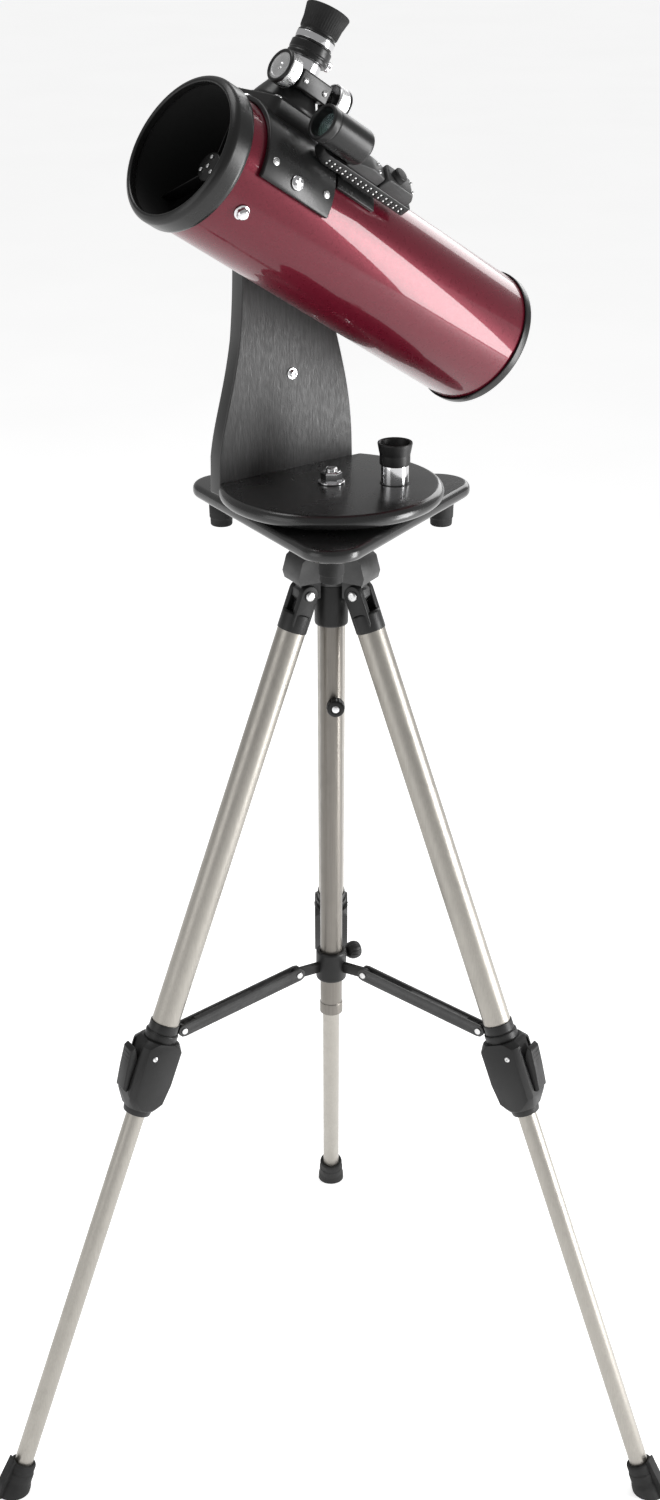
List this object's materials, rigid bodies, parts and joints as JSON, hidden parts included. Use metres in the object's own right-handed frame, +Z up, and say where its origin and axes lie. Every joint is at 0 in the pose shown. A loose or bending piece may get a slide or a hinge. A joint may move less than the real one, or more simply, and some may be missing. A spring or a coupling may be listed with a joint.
{
  "type": "dobsonian telescope",
  "caption": "Short Newtonian reflector on a one-armed swivel base, carried by a folding field tripod with a mid-height spreader and telescoping legs.",
  "frame": {"origin": "on the floor, at the middle of the object's footprint box", "axes": "+Z up; -Y towards the side with two legs, which is the viewer's side; +X to the viewer's right"},
  "size_m": [0.6594, 0.5723, 1.3872],
  "materials": {
    "red_paint": "gloss metallic wine red",
    "black_plastic": "satin moulded",
    "soft_black": "matt moulded",
    "rubber": "matt",
    "black_laminate": "satin laminate on board",
    "textured_board": "pebbled vinyl on board",
    "bearing_plastic": "matt",
    "grey_casting": "painted casting",
    "matte_black_metal": "matt",
    "champagne_aluminium": "satin anodised",
    "column_metal": "satin anodised",
    "chrome": "bright",
    "mirror_glass": "front-silvered"
  },
  "bodies": {
    "crown": {"tripod_crown": "grey_casting", "guide_tube": "column_metal"},
    "column": {"centre_column": "column_metal", "ground_board": "black_laminate", "bearing_ring": "bearing_plastic", "azimuth_bolt": "chrome", "base_foot_1": "rubber", "base_foot_2": "rubber", "base_foot_3": "rubber"},
    "azimuth_nut": {"azimuth_nut": "chrome"},
    "turntable": {"top_plate": "black_laminate", "side_arm": "textured_board"},
    "spare_eyepiece": {"spare_eyepiece_barrel": "chrome", "spare_eyepiece_cap": "soft_black"},
    "altitude_knob": {"altitude_knob": "soft_black"},
    "tube": {"optical_tube": "red_paint", "front_ring": "black_plastic", "rear_ring": "black_plastic", "mirror_cell": "grey_casting", "primary_mirror": "mirror_glass", "spider": "matte_black_metal", "secondary_holder": "black_plastic", "secondary_mirror": "mirror_glass", "dovetail_bar": "black_plastic", "altitude_hub": "black_plastic", "focuser_base": "black_plastic", "focuser_housing": "black_plastic", "finder_bracket": "black_plastic", "finder_body": "black_plastic", "finder_hood": "black_plastic"},
    "drawtube": {"drawtube": "chrome"},
    "pinion": {"pinion_shaft": "chrome", "focus_knob_front": "chrome", "focus_knob_rear": "chrome"},
    "eyepiece_screw": {"eyepiece_screw": "chrome"},
    "eyepiece": {"eyepiece_barrel": "chrome", "eyepiece_body": "soft_black"},
    "finder_knob": {"finder_knob": "soft_black"},
    "column_knob": {"column_knob": "soft_black"},
    "crown_lever": {"crown_lever": "soft_black"},
    "spreader_hub": {"spreader_hub": "black_plastic"},
    "spreader_knob": {"spreader_knob": "soft_black"},
    "leg_1": {"upper_leg_1": "champagne_aluminium", "leg_lock_1": "soft_black"},
    "lock_lever_1": {"lock_lever_1": "soft_black"},
    "lower_leg_1": {"lower_leg_1": "champagne_aluminium", "tripod_foot_1": "rubber"},
    "spreader_arm_1": {"spreader_arm_1": "grey_casting"},
    "leg_2": {"upper_leg_2": "champagne_aluminium", "leg_lock_2": "soft_black"},
    "lock_lever_2": {"lock_lever_2": "soft_black"},
    "lower_leg_2": {"lower_leg_2": "champagne_aluminium", "tripod_foot_2": "rubber"},
    "spreader_arm_2": {"spreader_arm_2": "grey_casting"},
    "leg_3": {"upper_leg_3": "champagne_aluminium", "leg_lock_3": "soft_black"},
    "lock_lever_3": {"lock_lever_3": "soft_black"},
    "lower_leg_3": {"lower_leg_3": "champagne_aluminium", "tripod_foot_3": "rubber"},
    "spreader_arm_3": {"spreader_arm_3": "grey_casting"}
  },
  "joints": [
    {"name": "column_lift", "type": "slide", "parent": "crown", "child": "column", "axis": [0, 0, 1], "range_m": [0, 0.2]},
    {"name": "azimuth_turn", "type": "hinge", "parent": "column", "child": "turntable", "pos_m": [0, -0.08995, 0.9746], "axis": [0, 0, 1], "continuous": true},
    {"name": "azimuth_nut_turn", "type": "hinge", "parent": "column", "child": "azimuth_nut", "pos_m": [0, -0.08995, 0.9796], "axis": [0, 0, 1], "range_deg": [0, 360]},
    {"name": "spare_eyepiece_lift", "type": "slide", "parent": "turntable", "child": "spare_eyepiece", "axis": [0, 0, 1], "range_m": [0, 0.012]},
    {"name": "altitude_tilt", "type": "hinge", "parent": "turntable", "child": "tube", "pos_m": [0.00626, -0.10916, 1.1841], "axis": [-0.6032, 0.7976, 0], "range_deg": [-37, 13.5]},
    {"name": "altitude_knob_turn", "type": "hinge", "parent": "turntable", "child": "altitude_knob", "pos_m": [-0.05406, -0.02941, 1.1841], "axis": [0.6032, -0.7976, 0], "range_deg": [0, 360]},
    {"name": "focus_travel", "type": "slide", "parent": "tube", "child": "drawtube", "axis": [0.4262, 0.3223, 0.8453], "range_m": [-0.008, 0.018]},
    {"name": "pinion_turn", "type": "hinge", "parent": "tube", "child": "pinion", "pos_m": [-0.01682, -0.15232, 1.3234], "axis": [-0.6742, -0.5099, 0.5344], "range_deg": [-215.5, 96.3]},
    {"name": "eyepiece_lift", "type": "slide", "parent": "drawtube", "child": "eyepiece", "axis": [0.4262, 0.3223, 0.8453], "range_m": [0, 0.03]},
    {"name": "eyepiece_screw_turn", "type": "hinge", "parent": "drawtube", "child": "eyepiece_screw", "pos_m": [-0.00462, -0.11739, 1.33469], "axis": [0.6742, 0.5099, -0.5344], "range_deg": [0, 720]},
    {"name": "finder_knob_turn", "type": "hinge", "parent": "tube", "child": "finder_knob", "pos_m": [0.0557, -0.15334, 1.25298], "axis": [0.7279, -0.3361, 0.5977], "range_deg": [0, 270]},
    {"name": "column_knob_turn", "type": "hinge", "parent": "crown", "child": "column_knob", "pos_m": [0.004, -0.10995, 0.766], "axis": [0, -1, 0], "range_deg": [0, 720]},
    {"name": "crown_lever_turn", "type": "hinge", "parent": "crown", "child": "crown_lever", "pos_m": [-0.02425, -0.07595, 0.917], "axis": [-0.866, 0.5, 0], "range_deg": [0, 75]},
    {"name": "leg_1_fold", "type": "hinge", "parent": "crown", "child": "leg_1", "pos_m": [-0.02477, -0.10425, 0.8766], "axis": [0.5, -0.866, 0], "range_deg": [0, 15]},
    {"name": "leg_2_fold", "type": "hinge", "parent": "crown", "child": "leg_2", "pos_m": [0.02477, -0.10425, 0.8766], "axis": [0.5, 0.866, 0], "range_deg": [0, 15]},
    {"name": "leg_3_fold", "type": "hinge", "parent": "crown", "child": "leg_3", "pos_m": [0, -0.06135, 0.8766], "axis": [-1, 0, 0], "range_deg": [0, 15]},
    {"name": "spreader_slide", "type": "slide", "parent": "crown", "child": "spreader_hub", "axis": [0, 0, 1], "range_m": [0, 0.08107]},
    {"name": "spreader_arm_1_swing", "type": "hinge", "parent": "leg_1", "child": "spreader_arm_1", "pos_m": [-0.14039, -0.171, 0.46524], "axis": [0.5, -0.866, 0], "range_deg": [0, 58.08]},
    {"name": "spreader_arm_2_swing", "type": "hinge", "parent": "leg_2", "child": "spreader_arm_2", "pos_m": [0.14039, -0.171, 0.46524], "axis": [0.5, 0.866, 0], "range_deg": [0, 58.08]},
    {"name": "spreader_arm_3_swing", "type": "hinge", "parent": "leg_3", "child": "spreader_arm_3", "pos_m": [0, 0.07216, 0.46524], "axis": [-1, 0, 0], "range_deg": [0, 58.08]},
    {"name": "lower_leg_1_slide", "type": "slide", "parent": "leg_1", "child": "lower_leg_1", "axis": [0.3061, 0.1767, 0.9355], "range_m": [0, 0.34]},
    {"name": "lock_lever_1_flip", "type": "hinge", "parent": "leg_1", "child": "lock_lever_1", "pos_m": [-0.19524, -0.20267, 0.42182], "axis": [0.5, -0.866, 0], "range_deg": [0, 100]},
    {"name": "lower_leg_2_slide", "type": "slide", "parent": "leg_2", "child": "lower_leg_2", "axis": [-0.3061, 0.1767, 0.9355], "range_m": [0, 0.34]},
    {"name": "lock_lever_2_flip", "type": "hinge", "parent": "leg_2", "child": "lock_lever_2", "pos_m": [0.19524, -0.20267, 0.42182], "axis": [0.5, 0.866, 0], "range_deg": [0, 100]},
    {"name": "lower_leg_3_slide", "type": "slide", "parent": "leg_3", "child": "lower_leg_3", "axis": [0, -0.3534, 0.9355], "range_m": [0, 0.34]},
    {"name": "lock_lever_3_flip", "type": "hinge", "parent": "leg_3", "child": "lock_lever_3", "pos_m": [0, 0.13549, 0.42182], "axis": [-1, 0, 0], "range_deg": [0, 100]},
    {"name": "spreader_knob_turn", "type": "hinge", "parent": "spreader_hub", "child": "spreader_knob", "pos_m": [0.01766, -0.08056, 0.499], "axis": [0.8829, 0.4695, 0], "range_deg": [0, 720]}
  ],
  "couplings": [
    {"joint": "pinion_turn", "follows": "focus_travel", "rad_per_m": -208},
    {"joint": "leg_2_fold", "follows": "leg_1_fold", "ratio": 1},
    {"joint": "leg_3_fold", "follows": "leg_1_fold", "ratio": 1},
    {"joint": "spreader_slide", "follows": "leg_1_fold", "m_per_rad": 0.30777},
    {"joint": "spreader_arm_1_swing", "follows": "leg_1_fold", "ratio": 3.8519},
    {"joint": "spreader_arm_2_swing", "follows": "leg_1_fold", "ratio": 3.8519},
    {"joint": "spreader_arm_3_swing", "follows": "leg_1_fold", "ratio": 3.8519}
  ]
}
